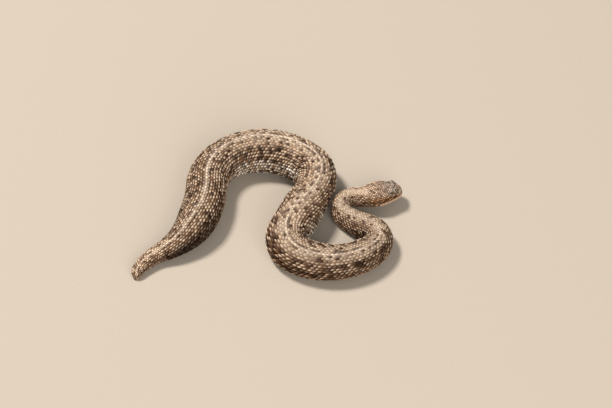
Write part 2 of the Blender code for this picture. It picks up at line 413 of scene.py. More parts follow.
FINE_STEP = 0.05
FINE_PLACES = np.arange(0, LENGTH + FINE_STEP / 2, FINE_STEP)
FINE_PITCH = smooth_through(PITCH, FINE_PLACES[:-1] + FINE_STEP / 2)
COLUMN_COUNT = np.concatenate([[0], np.cumsum(FINE_STEP / FINE_PITCH)])


def column_at(places):
    return np.interp(places, FINE_PLACES, COLUMN_COUNT)


def place_of(columns):
    return np.interp(columns, COLUMN_COUNT, FINE_PLACES)


def dice(row, column, number):
    """A number from 0 to 1 for each scale that looks random but is always the same."""
    mixed = np.sin(row * 12.9898 + column * 78.233 + number * 37.719) * 43758.5453
    return mixed - np.floor(mixed)


def half_rows(places):
    """How many rows lie between the middle of the back and the edge of the belly plates."""
    return BACK_SHARE * SKIN.girth_at(places) / row_spacing(places)


def way_down(row, places):
    """How far down the flank a row runs: 0 on the back, and 1 at the edge of the belly plates."""
    return np.abs(row) / half_rows(places)


def row_share(row, places):
    """The share round the body where a row runs. The rows widen a little toward the belly."""
    down = row / half_rows(places)
    return BACK_SHARE * down * (BACK_ROW_WIDTH + (1 - BACK_ROW_WIDTH) * down**2)


def row_at(shares, places):
    """The row that runs nearest a share round the body: near enough the inverse of row_share()."""
    down = shares / BACK_SHARE
    down = down / (BACK_ROW_WIDTH + (1 - BACK_ROW_WIDTH) * down**2)
    return np.round(down * half_rows(places))


def lattice(start, end):
    """Row, column and place of each keeled scale between two places, head or body."""
    found = []
    for row in range(-MOST_ROWS, MOST_ROWS + 1):
        columns = np.arange(0, COLUMN_COUNT[-1]) + 0.5 * (row % 2)
        places = place_of(columns)
        throat = ramp(places, THROAT_END - 2, THROAT_END + 2)
        reach = 0.5 + (BACK_SHARE + 0.2 * row_spacing(places) / SKIN.girth_at(places) - 0.5) * throat
        keep = (places >= start) & (places < end) & (abs(row_share(row, places)) <= reach)
        found.append(np.column_stack([np.full(keep.sum(), row), columns[keep], places[keep]]))
    return np.concatenate(found)


# ---------------- colours


def linear(colour):
    """Linear red, green and blue from an sRGB hex colour."""
    parts = np.array([int(colour[i : i + 2], 16) / 255 for i in (0, 2, 4)])
    return np.where(parts <= 0.04045, parts / 12.92, ((parts + 0.055) / 1.055) ** 2.4)


CREAM = linear("EAD5C1")
SAND = linear("CBB8A3")
TAN = linear("C5AD95")
BROWN = linear("B2957B")
DARK_BROWN = linear("48250C")
NEAR_BLACK = linear("261003")
GREY_BLUE_AND_PAINTED_LIGHT = 1.9 * linear("C6BEB2")  # the stripe's own pale grey-blue, lightened 1.9 times as painted light bounced up from the floor onto the low flank
HEAD_SAND = linear("D6C0AB")
HEAD_GREY = linear("C6BDB6")
CHEEK_BROWN = linear("B8926E")
LIP = linear("C8AE92")
BELLY = linear("E4D9CB")
BETWEEN_SCALES_TONE_AND_SHADE = np.array([0.21, 0.13, 0.062])  # the skin's colour, as a share of the scales' there: partly its own darker tone, partly painted shade between the scales
DARKEST_TONE_AND_SHADE = np.array([0.16, 0.088, 0.038])  # a scale's colour at its darkest, as a share of its own: partly its own darker base, partly painted shade
GROUND = (
    # way down the flank, colour
    (0.0, SAND), (0.2, TAN), (0.5, TAN), (0.62, BROWN), (0.76, BROWN), (0.9, TAN), (1.0, TAN),
    (1.06, BELLY), (1.25, BELLY),
)
# In the tables below, each place has the strength of one marking; the first table also holds painted light,
# and the third is painted shade.
# How light each stretch is: partly the animal's own tone, partly painted light that makes the neck and the
# tail lighter, as if more brightly lit.
LIGHTNESS_AND_PAINTED_LIGHT = (
    (14, 1.28), (28, 1.12), (40, 1.05), (62, 1.0), (95, 0.98), (105, 1.1), (145, 1.1), (160, 1.02),
    (185, 1.03), (215, 1.03), (226, 1.1), (236, 1.48), (249.5, 1.6),
)
LOW_STRIPE = (
    (94, 0.0), (102, 0.8), (112, 0.8), (122, 0.2), (132, 0.5), (142, 1.0), (170, 1.0), (184, 0.0),
)
# Painted shade on the lower flank near the vent, which faces away from the light.
PAINTED_SHADE_NEAR_VENT = ((196, 0.0), (212, 0.62), (226, 0.86), (238, 0.15))
BACK_LINE = (
    (42, 0.0), (58, 0.7), (100, 0.5), (130, 0.55), (150, 0.9), (215, 0.85), (235, 0.65), (249.5, 0.4),
)
FLECKS = ((16, 0.12), (40, 0.12), (62, 0.12), (90, 0.17), (140, 0.2), (165, 0.14), (249.5, 0.1))
BLOTCHES = (
    (16, 0.35), (50, 0.7), (68, 1.3), (86, 1.2), (102, 0.8), (112, 0.6), (145, 1.1), (170, 1.1),
    (190, 0.6), (249.5, 0.7),
)
BLOTCH_ROWS = (
    # way down the flank, distance from blotch to blotch, diameter of a blotch's dark ring
    (0.36, 5.0, 1.4),
    (0.62, 4.4, 1.15),
)


def mix(first, second, share):
    return first + (second - first) * share[..., None]


def shaded(pale, shade):
    """A pale colour toward its own darker, browner tone, which is partly the scale's darker base and partly
    painted shade.
    """
    rim = pale * DARKEST_TONE_AND_SHADE
    return rim + (pale - rim) * shade[..., None]


def ground_colour(down):
    """The ground colour by how far down the flank a scale is."""
    shares = [share for share, _ in GROUND]
    return np.stack([np.interp(down, shares, [c[i] for _, c in GROUND]) for i in range(3)], axis=-1)


def darkness(row, column):
    """How dark the markings make each scale of the body, from 0 to 1."""
    places = place_of(column)
    down = way_down(row, places)
    # Dashes beside the pale line of the back.
    dark = 0.8 * ((np.abs(row) == 1) & (dice(row, column, 2) < 0.5) & (places > 50))
    # Ring-like blotches in a row along the upper flank, and smaller ones lower down.
    strength = smooth_through(BLOTCHES, places)
    for centre_down, period, wide in BLOTCH_ROWS:
        phase = places / period + 0.25 * np.sign(row) + centre_down
        from_middle = (phase - np.round(phase)) * period
        below = (down - centre_down) * BACK_SHARE * SKIN.girth_at(places)
        apart = np.hypot(from_middle, below) / wide
        dark = np.maximum(dark, strength * bump((apart - 0.5) / 0.45))
    # Long spots where the flank meets the belly plates.
    dark = np.maximum(dark, ((down > 0.86) & (dice(row, column, 3) < 0.45)))
    # Single dark scales here and there.
    fleck = (dice(row, column, 4) < smooth_through(FLECKS, places)) & (np.abs(row) > 1)
    dark = np.maximum(dark, 0.95 * fleck)
    dark = dark * (0.7 + 0.4 * dice(row, column, 5)) * (1 - ramp(down, 1.0, 1.1))
    return np.clip(dark, 0, 1) * ramp(places, 12.0, 17.0)


def body_markings(row, column):
    """The pale colour of each scale, by its row and column."""
    places = place_of(column)
    down = way_down(row, places)
    above_belly = 1 - ramp(down, 1.0, 1.05)
    # The pale stripe low on the flank is its own grey-blue, with painted bounce light in its colour.
    stripe = ramp(down, 0.54, 0.66) * above_belly * smooth_through(LOW_STRIPE, places)
    colour = mix(ground_colour(down), GREY_BLUE_AND_PAINTED_LIGHT, stripe)
    # Painted shade darkens the lower flank near the vent.
    painted_flank_shade = ramp(down, 0.3, 0.6) * above_belly * smooth_through(PAINTED_SHADE_NEAR_VENT, places)
    colour = colour * (1 - painted_flank_shade)[..., None]
    # No two scales are equally light or equally grey, and those of the flank differ most. Each stretch's
    # lightness also carries painted light.
    spread = 0.26 + 0.3 * ramp(down, 0.2, 0.5)
    light = smooth_through(LIGHTNESS_AND_PAINTED_LIGHT, places) * (1 + spread * (dice(row, column, 1) - 0.6))
    greyer = colour.mean(axis=-1, keepdims=True) * np.array([1.06, 1.0, 0.92])
    colour = mix(colour, greyer, 0.3 * dice(row, column, 7)) * light[..., None]
    spot = mix(DARK_BROWN, NEAR_BLACK, dice(row, column, 6))
    return mix(colour, spot, 0.9 * darkness(row, column))


def head_markings(points):
    """The pale colour of the head's skin and scales, by where they are."""
    along = -(points - SNOUT_TIP) @ FORWARD
    out = np.abs((points - SNOUT_TIP) @ LEFT)
    height = points[..., 2]
    above_mouth = height - mouth_height(along)
    below_crown = crown_height(along) - height
    # A sandy crown, grey toward the snout, over brown cheeks and pale lips and chin. The cheeks' brown is
    # partly their own colour and partly painted shade on the sides below the crown.
    snout_grey = bump((along - 4.5) / 4.0) * (1 - ramp(below_crown, 0.6, 1.4))
    colour = mix(HEAD_SAND, HEAD_GREY, 0.8 * snout_grey)
    colour = mix(colour, CHEEK_BROWN, ramp(below_crown, 0.9, 1.8))
    lip = bump((above_mouth - 0.15) / 0.75) * ramp(out, 0.5, 1.5)
    colour = mix(colour, LIP, np.clip(lip * 1.1, 0, 1))
    colour = mix(colour, LIP, ramp(-above_mouth, 0.2, 0.8))
    # Painted shade in a wedge under the eye, and a dark streak from the eye down to the jaw's corner.
    eye, _ = eye_facts(1)
    below_eye = eye[2] - height
    behind_eye = along + (eye - SNOUT_TIP) @ FORWARD
    painted_shade_under_eye = bump((behind_eye - 0.3) / 0.7) * ramp(below_eye, 0.5, 1.0)
    painted_shade_under_eye = painted_shade_under_eye * (1 - ramp(below_eye, 1.7, 2.4))
    streak = bump((height - (eye[2] - 0.15 - 0.22 * behind_eye)) / 0.5)
    streak = streak * ramp(behind_eye, 0.8, 1.6) * (1 - ramp(behind_eye, 6.0, 8.0)) * ramp(out, 2.0, 3.0)
    colour = mix(colour, DARK_BROWN, np.clip(0.75 * painted_shade_under_eye + 0.55 * streak, 0, 0.9))
    # A brown patch on each side of the back of the crown.
    patch = bump((along - 8.6) / 1.2) * bump((out - 1.7) / 0.8) * (1 - ramp(below_crown, 0.8, 1.6))
    return mix(colour, BROWN, 0.6 * patch)


def coat_colour(row, column, points):
    """The pale colour of scales anywhere, the head's running into the body's at the nape."""
    light = 0.4 + 1.02 * dice(row, column, 7) ** 0.7
    head = head_markings(points) * light[..., None]
    return mix(head, body_markings(row, column), ramp(place_of(column), 11.0, 16.0))


# ---------------- meshes


def unwrap(places, shares, head):
    """Where skin lies on its unwrap: the body in one band, and the head larger in another.

    A share here runs from 0 to 1 and starts at the middle of the belly."""
    head_across = 0.02 + 0.95 * (places + SNOUT_CAP) / (HEAD_BAND_END + SNOUT_CAP)
    body_across = 0.01 + 0.98 * places / (LENGTH + TAIL_CAP)
    across = np.where(head, head_across, body_across)
    return np.stack([across, np.where(head, 0.7 + 0.28 * shares, 0.02 + 0.64 * shares)], axis=-1)


def two_triangles(a, b, c, d):
    """Two triangles for each four-sided face with these corners."""
    return [np.stack([a, b, c], -1).reshape(-1, 3), np.stack([a, c, d], -1).reshape(-1, 3)]


def joined(parts):
    """Each kind of array that the parts have, end to end."""
    return [np.concatenate(group) for group in zip(*parts)]


def finished_object(name, mesh, material, where=None):
    """A mesh as a smooth piece of the animal."""
    mesh.shade_smooth()
    mesh.materials.append(material)
    made = bpy.data.objects.new(name, mesh)
    bpy.context.scene.collection.objects.link(made)
    if where is not None:
        made.matrix_world = where
    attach(made, "root")
    print(name, len(mesh.polygons), "faces")
    return made


def mesh_object(name, points, faces, colours, uv, material):
    """One piece from arrays: points in mm, triangles, a colour for each point, a uv for each corner."""
    mesh = bpy.data.meshes.new(name)
    mesh.vertices.add(len(points))
    mesh.vertices.foreach_set("co", (points * MM).astype(np.float32).ravel())
    mesh.loops.add(faces.size)
    mesh.loops.foreach_set("vertex_index", faces.astype(np.int32).ravel())
    mesh.polygons.add(len(faces))
    mesh.polygons.foreach_set("loop_start", np.arange(0, faces.size, 3, dtype=np.int32))
    mesh.update(calc_edges=True)
    attribute = mesh.color_attributes.new("markings", "FLOAT_COLOR", "POINT")
    opaque = np.ones((len(points), 4), np.float32)
    opaque[:, :3] = np.clip(colours, 0, 1)
    attribute.data.foreach_set("color", opaque.ravel())
    layer = mesh.uv_layers.new(name="OFBake")
    layer.data.foreach_set("uv", uv.astype(np.float32).ravel())
    return finished_object(name, mesh, material)


# ---------------- skin


def skin_colours(places, shares, points):
    """The coat's markings on the bare skin, darker where it shows between scales, partly its own tone and
    partly painted shade, and with painted shade in the nostrils.
    """
    signed = np.mod(shares + 0.5, 1) - 0.5
    on_body = np.clip(places, 0, LENGTH)
    row = row_at(signed, on_body)
    half = 0.5 * np.mod(row, 2)
    column = np.round(column_at(on_body) - half) + half
    colours = coat_colour(row, column, points) * BETWEEN_SCALES_TONE_AND_SHADE
    belly = ramp(np.abs(signed) / BACK_SHARE, 0.99, 1.03) * ramp(places, 14.0, 20.0)
    # Painted shade, nearly black, inside each nostril's pit.
    inside = [bump(gap_to(points, nostril_centre(side)) / 0.34) for side in SIDES]
    return mix(mix(colours, BELLY, belly), NEAR_BLACK * 0.5, np.maximum(*inside))


def build_skin(material, flesh):
    """The one skin of the whole animal, closed at the snout and at the tip of the tail."""
    rows, columns = SKIN.mesh_grid()
    points = SKIN.points[np.ix_(rows, columns)]
    places = np.repeat(SKIN.places[rows][:, None], len(columns), axis=1)
    shares = np.repeat(columns[None, :] / COLUMNS, len(rows), axis=0)
    colours = skin_colours(places, shares, points)
    count = len(columns)
    index = np.arange(len(rows) * count).reshape(len(rows), count)
    after = np.roll(index, -1, axis=1)
    faces = two_triangles(index[:-1], index[1:], after[1:], after[:-1])
    here, beyond = places[:-1], places[1:]
    from_belly = np.mod(shares[:-1] + 0.5, 1)
    onward = from_belly + 1 / count
    corners = [
        unwrap(along, around, here < HEAD_BAND_END)
        for along, around in ((here, from_belly), (beyond, from_belly), (beyond, onward), (here, onward))
    ]
    uv = [np.stack([corners[i] for i in pick], 2).reshape(-1, 2) for pick in ((0, 1, 2), (0, 2, 3))]
    flat = points.reshape(-1, 3)
    for row, way in ((0, 1), (-1, -1)):
        tip = np.full(count, len(flat))
        faces.append(np.stack([tip, index[row], after[row]][::way], -1))
        uv.append(np.repeat(unwrap(places[row], shares[row], places[row] < HEAD_BAND_END), 3, axis=0))
        flat = np.concatenate([flat, [points[row].mean(axis=0)]])
    colours = np.concatenate([colours.reshape(-1, 3), colours[0, :1], colours[-1, :1]])
    faces, uv = np.concatenate(faces), np.concatenate(uv)
    skin = mesh_object("skin", flat, faces, colours, uv, material)
    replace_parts(skin, *flesh)


# ---------------- scales and plates


class Template:
    """A closed plate on a grid. u runs from its root (0) to its free tip (1), v across it (-1 to 1)."""

    def __init__(self, along, across):
        nu, nv = len(along), len(across)
        grid = np.arange(nu * nv).reshape(nu, nv)
        border = np.concatenate([grid[:, 0], grid[-1, 1:], grid[-2::-1, -1], grid[0, -2:0:-1]])
        u = np.repeat(np.array(along, float), nv)
        v = np.tile(np.array(across, float), nu)
        self.u = np.concatenate([u, u[border], [0.5]])
        self.v = np.concatenate([v, v[border], [0.0]])
        self.top = np.arange(len(self.u)) < nu * nv
        below = nu * nv + np.arange(len(border))
        below_next = np.roll(below, -1)
        self.faces = np.concatenate([
            *two_triangles(grid[:-1, :-1], grid[1:, :-1], grid[1:, 1:], grid[:-1, 1:]),
            *two_triangles(border, below, below_next, np.roll(border, -1)),
            np.stack([np.full(len(below), len(self.u) - 1), below_next, below], -1),
        ])


BODY_SCALE = Template(
    (0, 0.16, 0.32, 0.46, 0.6, 0.73, 0.85, 0.94, 1), (-1, -0.68, -0.36, -0.14, 0, 0.14, 0.36, 0.68, 1)
)
SMALL_SCALE = Template((0, 0.22, 0.36, 0.5, 0.68, 0.85, 1), (-1, -0.75, -0.5, -0.2, 0, 0.2, 0.5, 0.75, 1))
WIDE_PLATE = Template((0, 0.3, 0.6, 0.85, 1), np.linspace(-1, 1, 17))
ROUND_PLATE = Template((0, 0.12, 0.35, 0.65, 0.88, 1), (-1, -0.75, -0.35, 0, 0.35, 0.75, 1))


def leaf(u):
    """The half width of a keeled scale: narrow at the root, widest in the middle, bluntly pointed."""
    widest = 0.5
    opening = 0.55 + 0.45 * np.sin(np.clip(u / widest, 0, 1) * math.pi / 2)
    closing = np.maximum(1 - np.maximum((u - widest) / (1 - widest), 0) ** 2, 0) ** 0.72
    return np.where(u < widest, opening, np.maximum(closing, 0.1))


def slab(u):
    """The half width of a plate with nearly square ends."""
    return np.maximum(1 - np.abs(2 * u - 1) ** 5, 0.02) ** 0.3


def band(u):
    """The half width of a belly plate, a little narrower at its root."""
    return 1 - 0.06 * (1 - u) ** 2


def keeled_height(template, keel):
    """Heights over the skin as a share of the coat's depth, for scales with these keels (0 to 1)."""
    u, v, keel = template.u, template.v, keel[:, None]
    dome = 0.08 * ramp(u, -0.1, 0.6) * (1 - v**2)
    ridge = 0.42 * ramp(u, 0.12, 0.65) * (1 - 0.4 * ramp(u, 0.85, 1.0)) * bump(v / 0.17)
    return np.where(template.top, 0.45 * u + 0.1 + dome + keel * ridge, 0.45 * u - 0.05)


def plain_height(template, scale):
    """The same for cushioned plates with no keel, times each plate's own scale."""
    u, v = template.u, template.v
    top = 0.3 + 0.3 * u + 0.22 * (1 - v**4) * np.sin(np.clip(u, 0, 1) * math.pi) ** 0.5
    return np.where(template.top, top, 0.28 * u - 0.08) * scale[:, None]


def belly_height(template, count):
    """The same for flat plates that thin toward their two ends."""
    u, v = template.u, template.v
    over = 0.3 * u + 0.3 + 0.1 * (1 - np.abs(2 * u - 1) ** 2)
    ends = 1 - 0.4 * ramp(np.abs(v), 0.85, 1.0)
    return np.broadcast_to(np.where(template.top, over, 0.3 * u + 0.02) * ends, (count, len(u)))


def keeled_shade(template, keel, hidden, flank):
    """How pale each point of a scale is: palest on the keel, and dark where it comes out from under the
    scales in front. That dark is partly the scale's own darker base and partly painted shadow; the pale
    keel is partly its own colour and partly a painted highlight; the darker sides on the flank and the
    dark underside are painted shade. On the back (flank 0) that dark is a notch, and on the flank (1) a
    whole V. Hidden is how much further the dark reaches, as a share of the scale's length."""
    u, v = template.u, template.v
    keel, hidden, flank = keel[:, None], hidden[:, None], flank[:, None]
    # The dark root where the scale comes out from under those in front: partly its own darker base, partly
    # painted shadow.
    clear_of_root = u - 0.3 - hidden - 0.38 * np.abs(v)
    depth = 0.42 + 0.5 * flank + 0.45 * (1 - flank) * bump(v / 0.4)
    pale = 1 - depth * (1 - ramp(clear_of_root, -0.03, 0.15 + 0.1 * flank))
    # Darker sides on the flank: painted shade.
    pale = pale * (0.86 - 0.27 * flank * ramp(np.abs(v), 0.4, 1.0))
    # The pale keel: partly its own paler colour, partly a painted highlight.
    ridge = (0.1 + 0.32 * flank) * keel * bump(v / 0.2) * ramp(u - hidden, 0.3, 0.5)
    return np.where(template.top, np.clip(pale + ridge, 0, 1.15), 0.0)


def plain_shade(template, count):
    """How pale each point of a plate is: darker only at its edges and underneath, as painted shade."""
    u, v = template.u, template.v
    shade = 1.02 - 0.4 * np.abs(v) ** 4 - 0.4 * np.abs(2 * u - 1) ** 6
    return np.broadcast_to(np.where(template.top, shade, 0.3), (count, len(u)))


def hidden_share(row, column, down):
    """How much further the dark root of each scale, partly painted shadow, reaches: more on the flanks, and
    by chance.
    """
    return 0.03 * ramp(down, 0.2, 0.5) + 0.08 * ramp(down, 0.65, 0.85) + 0.5 * dice(row, column, 19) ** 3


def plates(template, places, shares, length, width, heights, profile, slant=None):
    """Points of many plates, laid on the skin: one row for each plate."""
    girth = SKIN.girth_at(places)[:, None]
    along = places[:, None] + length[:, None] * template.u
    around = template.v * profile(template.u) * width[:, None] / 2
    if slant is not None:
        around = around + slant[:, None] * length[:, None] * (template.u - 0.4)
    points, normals = SKIN.at(along, shares[:, None] + around / girth)
    return points + normals * (heights * coat_depth(places)[:, None])[..., None]


def plate_object(name, template, points, colours, places, shares, material, slot, head=None):
    """One coat piece of many plates, each with a small patch of its own on the unwrap."""
    count, corners = points.shape[:2]
    faces = (template.faces[None] + corners * np.arange(count)[:, None, None]).reshape(-1, 3)
    head = places < HEAD_BAND_END if head is None else head
    root = unwrap(places, np.mod(shares + 0.5, 1), head)
    patch = np.stack([(template.u - 0.5) * PATCH, template.v * PATCH / 2], -1)
    spots = root[:, None, :] + patch[None]
    uv = spots[:, template.faces.ravel()].reshape(-1, 2)
    mesh_object(name, points.reshape(-1, 3), faces, colours.reshape(-1, 3), uv, material)


# ---------------- keeled scales


class KeeledScales:
    """The keeled scales rooted between two places. Each array has one entry for each scale."""

    def __init__(self, start, end):
        self.row, self.column, places = lattice(start, end).T
        pitch = smooth_through(PITCH, places)
        self.places = np.maximum(places + 0.14 * pitch * (self.dice(17) - 0.5), start)
        self.shares = row_share(self.row + 0.12 * (self.dice(18) - 0.5), self.places)
        stretch = np.clip(SKIN.stretch(self.places, self.shares), 0.3, 2)
        self.length = OVERLAP * pitch * stretch**-0.25 * (0.96 + 0.08 * self.dice(8))
        self.down = down = way_down(self.row, self.places)
        space = BACK_ROW_WIDTH + 3 * (1 - BACK_ROW_WIDTH) * down**2
        self.width = SIDE_OVERLAP * row_spacing(self.places) * space * (0.97 + 0.06 * self.dice(9))
        slant = 0.28 * np.sign(self.row) * ramp(down, 0.15, 0.5) * (1 - 0.6 * ramp(down, 0.8, 1.0))
        self.slant = slant + 0.08 * (self.dice(10) - 0.5)

    def dice(self, number):
        return dice(self.row, self.column, number)

    def keep(self, chosen):
        for name, values in list(vars(self).items()):
            setattr(self, name, values[chosen])

    def colours(self, shade):
        """The colour of each point of each scale, from the markings where its middle lies."""
        middle, _ = SKIN.at(self.places + self.length / 2, self.shares)
        return shaded(coat_colour(self.row, self.column, middle)[:, None, :], shade)


def back_line(scales, shade, rearward):
    """How strongly each point of each scale shows the pale line along the middle of the back.

    It covers the middle row, and the inner halves of the rows beside it, most toward the tail."""
    row, rearward = scales.row[:, None], rearward[:, None]
    toward_middle = -np.sign(row) * BODY_SCALE.v
    middle_row = bump(BODY_SCALE.v / (0.65 + rearward))
    beside = (0.1 + 0.45 * rearward) * ramp(toward_middle, 0.1, 0.7)
    line = np.where(row == 0, middle_row, beside) * (0.5 + 0.45 * shade)
    strength = smooth_through(BACK_LINE, place_of(scales.column)) * (0.45 + 0.55 * scales.dice(14))
    return line * (strength * (np.abs(scales.row) <= 1))[:, None] * BODY_SCALE.top


def build_body_scales(name, start, end, material):
    """The keeled scales of one stretch of the neck, trunk or tail."""
    scales = KeeledScales(start, end)
    keel = (1 - 0.5 * ramp(scales.down, 0.85, 1.0)) * (0.75 + 0.4 * scales.dice(11))
    heights = keeled_height(BODY_SCALE, keel) * (0.92 + 0.08 * scales.dice(12))[:, None]
    points = plates(
        BODY_SCALE, scales.places, scales.shares, scales.length, scales.width, heights, leaf, scales.slant
    )
    # Toward the tail the back has the whole dark V, partly painted shadow, on each scale too.
    rearward = ramp(scales.places, 150, 190)
    flank = np.maximum(ramp(scales.down, 0.12, 0.45), 0.9 * rearward)
    hidden = hidden_share(scales.row, scales.column, scales.down)
    shade = keeled_shade(BODY_SCALE, keel, hidden, flank)
    colours = mix(scales.colours(shade), CREAM, back_line(scales, shade, rearward))
    plate_object(name, BODY_SCALE, points, colours, scales.places, scales.shares, material, "scaled_skin")


def openings():
    """The middle of each eye and nostril, and how far the small scales keep from it."""
    eyes = [(eye_facts(side)[0], EYE_RADIUS + EYE_ROOM) for side in SIDES]
    return eyes + [(nostril_centre(side), NOSTRIL_ROOM) for side in SIDES]


def step_aside(places, shares, length):
    """Moves small scales just clear of the eyes and nostrils, and says which are clear."""
    most, step, may_touch = 0.45, 0.1, 0.08
    start, _ = SKIN.at(places + length / 2, shares)
    for _ in range(4):
        for middle, radius in openings():
            for share in (0.0, 0.5, 1.0):
                along, over = places + share * length, step / SKIN.girth_at(places)
                point, _ = SKIN.at(along, shares)
                ahead, _ = SKIN.at(along + step, shares)
                beside, _ = SKIN.at(along, shares + over)
                away = point - middle
                distance = np.linalg.norm(away, axis=1)
                move = np.maximum(radius - distance, 0)
                toward = [
                    np.sum((there - point) * away, axis=1) / (step * distance) for there in (ahead, beside)
                ]
                reach = np.maximum(np.hypot(*toward), 0.3)
                places = places + move * toward[0] / reach
                shares = shares + move * toward[1] / reach / SKIN.girth_at(places)
    end, _ = SKIN.at(places + length / 2, shares)
    clear = np.linalg.norm(end - start, axis=1) < most
    for middle, radius in openings():
        for share in (0.0, 0.5, 1.0):
            point, _ = SKIN.at(places + share * length, shares)
            clear &= gap_to(point, middle) > radius - may_touch
    return places, shares, clear


def build_head_scales(name, start, material, slot, on_jaw):
    """The small scales of the head above the mouth line, or of the chin below it."""
    under_lip = 0.28
    scales = KeeledScales(start, HEAD_END)
    scales.places, scales.shares, clear = step_aside(scales.places, scales.shares, scales.length)
    roots, _ = SKIN.at(scales.places, scales.shares)
    above = roots[:, 2] - mouth_height(scales.places)
    clear &= (np.abs(above) > LIP_HEIGHT - under_lip) | (scales.places > MOUTH_CORNER + 0.1)
    scales.keep(clear & ((above < 0) == on_jaw))
    places, shares = scales.places, scales.shares
    keel = (0.1 if on_jaw else 0.75) * (0.7 + 0.5 * scales.dice(11))
    heights = keeled_height(SMALL_SCALE, keel)
    points = plates(SMALL_SCALE, places, shares, scales.length, scales.width, heights, leaf)
    hidden = hidden_share(scales.row, scales.column, np.zeros_like(places))
    colours = scales.colours(keeled_shade(SMALL_SCALE, keel, hidden, np.ones_like(places)))
    plate_object(name, SMALL_SCALE, points, colours, places, shares, material, slot)


# ---------------- plates of the head


def mouth_share(places, side):
    """The share round the head where the mouth line lies."""
    shares = side * np.arange(1, COLUMNS // 2) / COLUMNS
    found = []
    for place in places:
        points, _ = SKIN.at(np.full(len(shares), place), shares)
        found.append(shares[np.argmax(points[:, 2] - mouth_height(place) < 0)])
    return np.array(found)


def build_lips(material):
    """The plates along both lips, from beside the snout's tip to the corner of the mouth."""
    edges = 0.45 + (MOUTH_CORNER - 0.1) * (np.arange(LIP_COUNT + 1) / LIP_COUNT) ** 1.05
    places, length = edges[:-1], np.diff(edges) * 1.08
    girth = SKIN.girth_at(places)
    heights = plain_height(ROUND_PLATE, np.full(LIP_COUNT, 1.6))
    bars = 0.35 * (np.arange(LIP_COUNT) % 3 == 1)
    for name, way, tall, brown, slot in (
        ("upper_lip_plates", 1, LIP_HEIGHT, bars, "head_skin"),
        ("lower_lip_plates", -1, 0.9 * LIP_HEIGHT, np.zeros(LIP_COUNT), "chin_skin"),
    ):
        parts = []
        for side in SIDES:
            middle_share = mouth_share(places + length / 2, side)
            shares = middle_share + (0.06 + tall / 2) * way * -side / girth
            turn = mouth_share(places + length, side) - mouth_share(places, side)
            width, slant = np.full(LIP_COUNT, tall), turn * girth / length
            points = plates(ROUND_PLATE, places, shares, length, width, heights, slab, slant)
            middle, _ = SKIN.at(places + length / 2, shares)
            colour = mix(head_markings(middle), CHEEK_BROWN, brown)
            colours = shaded(colour[:, None, :], plain_shade(ROUND_PLATE, LIP_COUNT))
            parts.append((points, colours, places, shares))
        plate_object(name, ROUND_PLATE, *joined(parts), material, slot)


def skin_tree():
    """The head's skin as a tree that rays can be cast at."""
    rows, columns = SKIN.mesh_grid()
    grid = SKIN.points[np.ix_(rows[:140], columns)]
    index = np.arange(grid.shape[0] * grid.shape[1]).reshape(grid.shape[:2])
    after = np.roll(index, -1, axis=1)
    quads = np.stack([index[:-1], index[1:], after[1:], after[:-1]], -1).reshape(-1, 4)
    return BVHTree.FromPolygons(grid.reshape(-1, 3).tolist(), quads.tolist())


def seated(tree, out, height):
    """The point and normal of the snout straight behind a point in front of it."""
    start = SNOUT_TIP + 4 * FORWARD + out * LEFT
    start[2] = height
    hit, normal, _, _ = tree.ray_cast(Vector(start), Vector(-FORWARD))
    return np.array(hit), np.array(normal)


def pressed_on(tree, centre, normal, lengthwise, along, across, heights):
    """Points drawn on the plane that touches the skin at centre, then pressed on the skin."""
    clear, farthest = 0.8, 2.5
    lengthwise = lengthwise - normal * (lengthwise @ normal)
    lengthwise /= np.linalg.norm(lengthwise)
    sideways = np.cross(lengthwise, normal)
    points = []
    for a, c, height in zip(along, across, heights):
        start = centre + lengthwise * a + sideways * c + normal * clear
        hit, slope, _, _ = tree.ray_cast(Vector(start), Vector(-normal), farthest)
        if hit is None:
            hit, slope, _, _ = tree.find_nearest(Vector(start - normal * clear))
        points.append(np.array(hit) + np.array(slope) * height)
    return np.array(points)


def snout_rows():
    """The plates and scales at the tip of the snout, then the plates of the chin. For each: how far
    out it is, its middle above the mouth line, its length up or down, its width and its keel."""
    upper = [(0.0, 0.37, 0.66, 1.62, 0.0)]
    lower = [(0.0, -0.36, 0.58, 1.15, 0.0)]
    for side in SIDES:
        upper += [(side * (1.12 + 0.62 * i), 0.37 - 0.02 * i, 0.66, 0.74, 0.0) for i in range(2)]
        lower += [(side * (0.88 + 0.6 * i), -0.36, 0.58, 0.66, 0.0) for i in range(3)]
    for level, height in enumerate((0.82, 1.18, 1.52)):
        for k in range(-4, 5):
            out = (k + 0.5 * (level % 2)) * 0.68
            if abs(out) < 2.9 - 0.2 * level:
                upper.append((out, height, 0.72, 0.72, 0.5))
    return upper, lower


